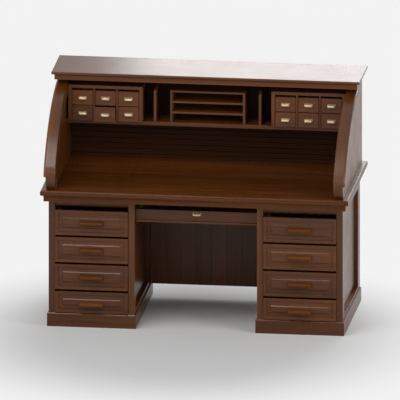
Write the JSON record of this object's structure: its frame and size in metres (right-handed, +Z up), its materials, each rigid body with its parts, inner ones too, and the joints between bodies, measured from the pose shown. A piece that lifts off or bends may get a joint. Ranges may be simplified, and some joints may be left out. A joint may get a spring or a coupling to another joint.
{
  "type": "roll-top desk",
  "caption": "Double-pedestal roll-top desk with a tambour curtain, fielded drawers with wooden pulls, a kneehole and an organizer of small drawers and pigeonholes.",
  "frame": {"origin": "on the floor under the middle of the desktop", "axes": "+X along the desk to the right of the sitter, +Y from the sitter to the back, +Z up"},
  "size_m": [1.68, 0.828, 1.309],
  "materials": {
    "case_wood": "satin",
    "writing_wood": "satin",
    "drawer_wood": "satin",
    "organizer_wood": "satin",
    "tambour_wood": "satin",
    "brass": "polished"
  },
  "bodies": {
    "root": {"desktop": "writing_wood", "top_board": "case_wood", "pedestal_front_frames": "case_wood", "pedestal_sides": "case_wood", "pedestal_backs": "case_wood", "pedestal_plinths": "case_wood", "modesty_panel": "case_wood", "drawer_runners": "case_wood", "roll_ends": "case_wood", "roll_end_caps": "case_wood", "tambour_slats": "tambour_wood", "case_back": "case_wood", "organizer_shelf": "organizer_wood", "organizer_back": "organizer_wood", "drawer_banks": "organizer_wood", "letter_rack": "organizer_wood", "pigeonhole_dividers": "organizer_wood"},
    "lead_rail": {"tambour_lead_rail": "tambour_wood"},
    "left_drawer_1": {"left_drawer_1": "drawer_wood", "left_drawer_1_pull": "drawer_wood"},
    "left_drawer_2": {"left_drawer_2": "drawer_wood", "left_drawer_2_pull": "drawer_wood"},
    "left_drawer_3": {"left_drawer_3": "drawer_wood", "left_drawer_3_pull": "drawer_wood"},
    "left_drawer_4": {"left_drawer_4": "drawer_wood", "left_drawer_4_pull": "drawer_wood"},
    "right_drawer_1": {"right_drawer_1": "drawer_wood", "right_drawer_1_pull": "drawer_wood"},
    "right_drawer_2": {"right_drawer_2": "drawer_wood", "right_drawer_2_pull": "drawer_wood"},
    "right_drawer_3": {"right_drawer_3": "drawer_wood", "right_drawer_3_pull": "drawer_wood"},
    "right_drawer_4": {"right_drawer_4": "drawer_wood", "right_drawer_4_pull": "drawer_wood"},
    "centre_drawer": {"centre_drawer": "drawer_wood", "centre_drawer_pull": "brass"},
    "left_bank_upper_1": {"left_bank_upper_1": "organizer_wood", "left_bank_upper_1_pull": "brass"},
    "left_bank_upper_2": {"left_bank_upper_2": "organizer_wood", "left_bank_upper_2_pull": "brass"},
    "left_bank_upper_3": {"left_bank_upper_3": "organizer_wood", "left_bank_upper_3_pull": "brass"},
    "left_bank_lower_1": {"left_bank_lower_1": "organizer_wood", "left_bank_lower_1_pull": "brass"},
    "left_bank_lower_2": {"left_bank_lower_2": "organizer_wood", "left_bank_lower_2_pull": "brass"},
    "left_bank_lower_3": {"left_bank_lower_3": "organizer_wood", "left_bank_lower_3_pull": "brass"},
    "right_bank_upper_1": {"right_bank_upper_1": "organizer_wood", "right_bank_upper_1_pull": "brass"},
    "right_bank_upper_2": {"right_bank_upper_2": "organizer_wood", "right_bank_upper_2_pull": "brass"},
    "right_bank_upper_3": {"right_bank_upper_3": "organizer_wood", "right_bank_upper_3_pull": "brass"},
    "right_bank_lower_1": {"right_bank_lower_1": "organizer_wood", "right_bank_lower_1_pull": "brass"},
    "right_bank_lower_2": {"right_bank_lower_2": "organizer_wood", "right_bank_lower_2_pull": "brass"},
    "right_bank_lower_3": {"right_bank_lower_3": "organizer_wood", "right_bank_lower_3_pull": "brass"}
  },
  "joints": [
    {"name": "roll_top", "type": "hinge", "parent": "root", "child": "lead_rail", "pos_m": [0, 0.28052, 0.5604], "axis": [1, 0, 0], "range_deg": [0, 66.1], "deforming": ["tambour_slats"]},
    {"name": "left_drawer_1_slide", "type": "slide", "parent": "root", "child": "left_drawer_1", "axis": [0, -1, 0], "range_m": [0, 0.42]},
    {"name": "left_drawer_2_slide", "type": "slide", "parent": "root", "child": "left_drawer_2", "axis": [0, -1, 0], "range_m": [0, 0.42]},
    {"name": "left_drawer_3_slide", "type": "slide", "parent": "root", "child": "left_drawer_3", "axis": [0, -1, 0], "range_m": [0, 0.42]},
    {"name": "left_drawer_4_slide", "type": "slide", "parent": "root", "child": "left_drawer_4", "axis": [0, -1, 0], "range_m": [0, 0.42]},
    {"name": "right_drawer_1_slide", "type": "slide", "parent": "root", "child": "right_drawer_1", "axis": [0, -1, 0], "range_m": [0, 0.42]},
    {"name": "right_drawer_2_slide", "type": "slide", "parent": "root", "child": "right_drawer_2", "axis": [0, -1, 0], "range_m": [0, 0.42]},
    {"name": "right_drawer_3_slide", "type": "slide", "parent": "root", "child": "right_drawer_3", "axis": [0, -1, 0], "range_m": [0, 0.42]},
    {"name": "right_drawer_4_slide", "type": "slide", "parent": "root", "child": "right_drawer_4", "axis": [0, -1, 0], "range_m": [0, 0.42]},
    {"name": "centre_drawer_slide", "type": "slide", "parent": "root", "child": "centre_drawer", "axis": [0, -1, 0], "range_m": [0, 0.3]},
    {"name": "left_bank_upper_1_slide", "type": "slide", "parent": "root", "child": "left_bank_upper_1", "axis": [0, -1, 0], "range_m": [0, 0.1]},
    {"name": "left_bank_upper_2_slide", "type": "slide", "parent": "root", "child": "left_bank_upper_2", "axis": [0, -1, 0], "range_m": [0, 0.1]},
    {"name": "left_bank_upper_3_slide", "type": "slide", "parent": "root", "child": "left_bank_upper_3", "axis": [0, -1, 0], "range_m": [0, 0.1]},
    {"name": "left_bank_lower_1_slide", "type": "slide", "parent": "root", "child": "left_bank_lower_1", "axis": [0, -1, 0], "range_m": [0, 0.1]},
    {"name": "left_bank_lower_2_slide", "type": "slide", "parent": "root", "child": "left_bank_lower_2", "axis": [0, -1, 0], "range_m": [-0.025, 0.075]},
    {"name": "left_bank_lower_3_slide", "type": "slide", "parent": "root", "child": "left_bank_lower_3", "axis": [0, -1, 0], "range_m": [0, 0.1]},
    {"name": "right_bank_upper_1_slide", "type": "slide", "parent": "root", "child": "right_bank_upper_1", "axis": [0, -1, 0], "range_m": [0, 0.1]},
    {"name": "right_bank_upper_2_slide", "type": "slide", "parent": "root", "child": "right_bank_upper_2", "axis": [0, -1, 0], "range_m": [0, 0.1]},
    {"name": "right_bank_upper_3_slide", "type": "slide", "parent": "root", "child": "right_bank_upper_3", "axis": [0, -1, 0], "range_m": [0, 0.1]},
    {"name": "right_bank_lower_1_slide", "type": "slide", "parent": "root", "child": "right_bank_lower_1", "axis": [0, -1, 0], "range_m": [0, 0.1]},
    {"name": "right_bank_lower_2_slide", "type": "slide", "parent": "root", "child": "right_bank_lower_2", "axis": [0, -1, 0], "range_m": [0, 0.1]},
    {"name": "right_bank_lower_3_slide", "type": "slide", "parent": "root", "child": "right_bank_lower_3", "axis": [0, -1, 0], "range_m": [0, 0.1]}
  ]
}
